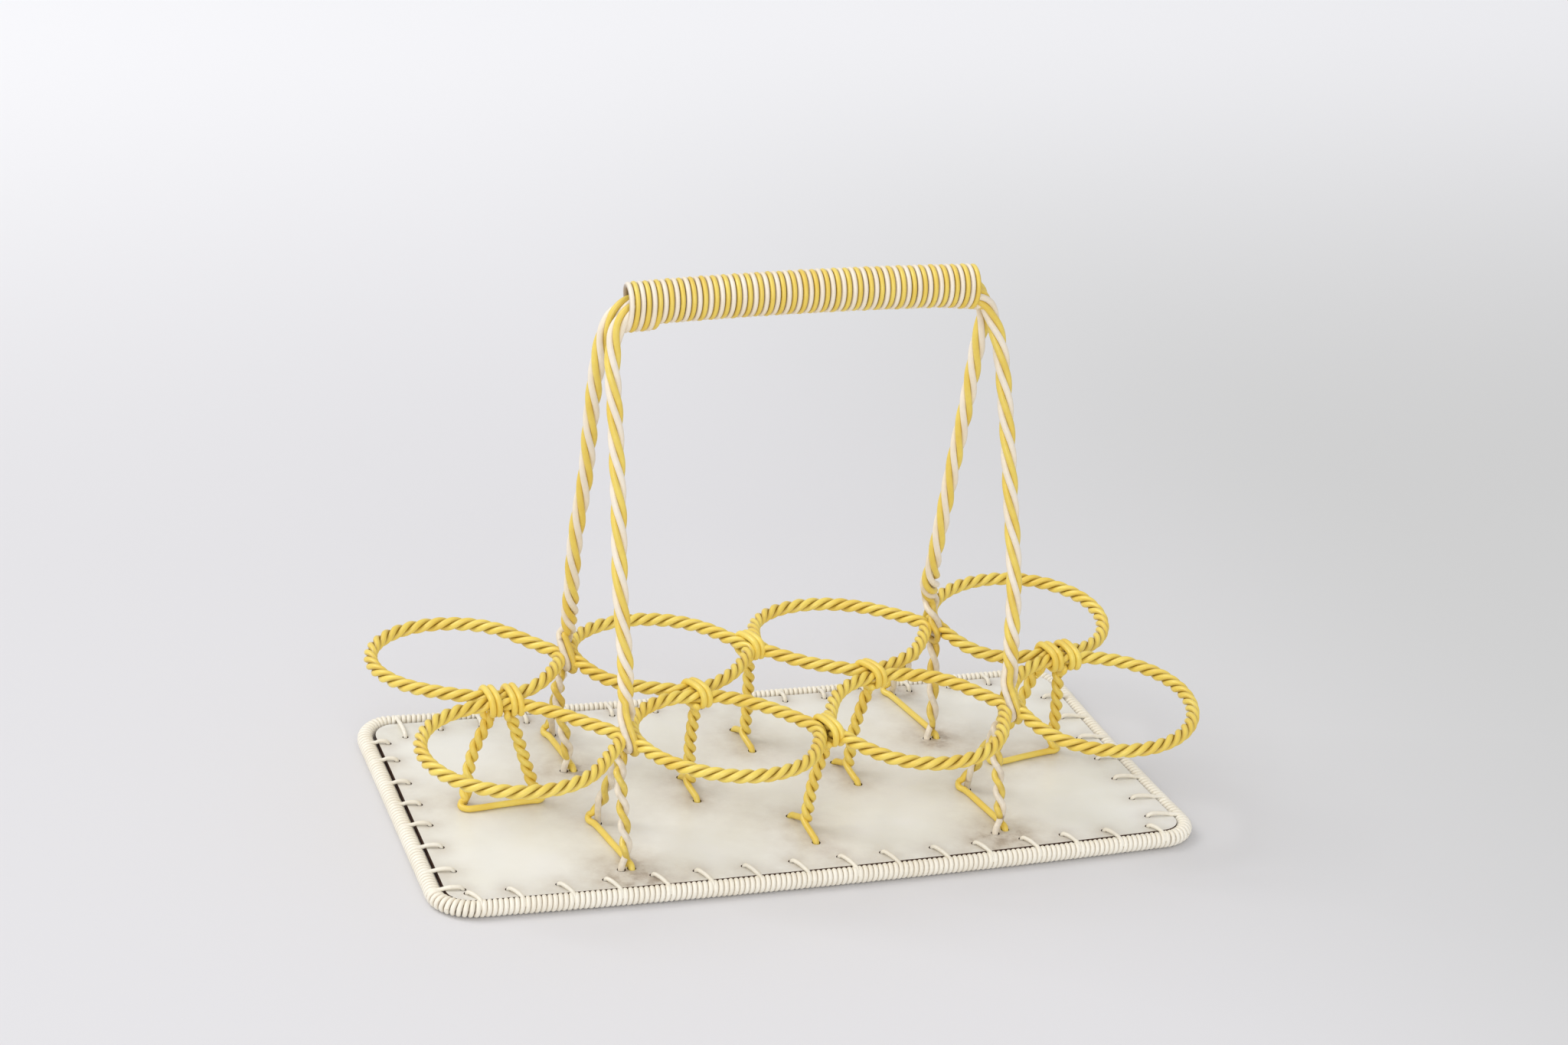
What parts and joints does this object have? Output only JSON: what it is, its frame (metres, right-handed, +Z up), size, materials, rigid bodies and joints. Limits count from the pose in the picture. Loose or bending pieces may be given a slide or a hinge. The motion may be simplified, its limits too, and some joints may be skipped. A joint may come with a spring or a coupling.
{
  "type": "glass carrier",
  "caption": "Carrying rack of twisted plastic-coated wire: rings for drinking glasses lashed together above a laced board base, with a cord-wound carrying handle.",
  "frame": {"origin": "centre of the rim on the table, at the height of the surface the carrier stands on", "axes": "+X along the two rows of rings and the grip, to the right in the picture; +Y to the back; +Z up"},
  "size_m": [0.3142, 0.157, 0.2225],
  "materials": {
    "yellow_wire": "satin plastic coating",
    "cream_cord": "satin plastic coating",
    "board": "hardboard with a pale painted top"
  },
  "bodies": {
    "root": {"base_plate": "board", "rim_winding_back": "cream_cord", "rim_winding_front": "cream_cord", "rim_winding_left": "cream_cord", "rim_winding_right": "cream_cord", "rim_wire": "cream_cord", "ring_back_1": "yellow_wire", "ring_back_2": "yellow_wire", "ring_back_3": "yellow_wire", "ring_back_4": "yellow_wire", "ring_front_1": "yellow_wire", "ring_front_2": "yellow_wire", "ring_front_3": "yellow_wire", "ring_front_4": "yellow_wire", "lashing_back_middle": "yellow_wire", "lashing_front_middle": "yellow_wire", "lashing_inner_left": "yellow_wire", "lashing_inner_right": "yellow_wire", "lashing_outer_left_a": "yellow_wire", "lashing_outer_left_b": "yellow_wire", "lashing_outer_right_a": "yellow_wire", "lashing_outer_right_b": "yellow_wire", "leg_back_middle": "yellow_wire", "leg_front_middle": "yellow_wire", "leg_inner_left": "yellow_wire", "leg_inner_right": "yellow_wire", "leg_outer_left_a": "yellow_wire", "leg_outer_left_b": "yellow_wire", "leg_outer_right_a": "yellow_wire", "leg_outer_right_b": "yellow_wire", "foot_wire_back_left": "yellow_wire", "foot_wire_back_right": "yellow_wire", "foot_wire_front_left": "yellow_wire", "foot_wire_front_right": "yellow_wire", "foot_wire_back_middle": "yellow_wire", "foot_wire_front_middle": "yellow_wire", "foot_wire_inner_left": "yellow_wire", "foot_wire_inner_right": "yellow_wire", "foot_wire_outer_left": "yellow_wire", "foot_wire_outer_right": "yellow_wire", "hoop_back_yellow": "yellow_wire", "hoop_back_cream": "cream_cord", "hoop_front_yellow": "yellow_wire", "hoop_front_cream": "cream_cord", "grip_winding_yellow": "yellow_wire", "grip_winding_cream": "cream_cord"}
  },
  "joints": []
}
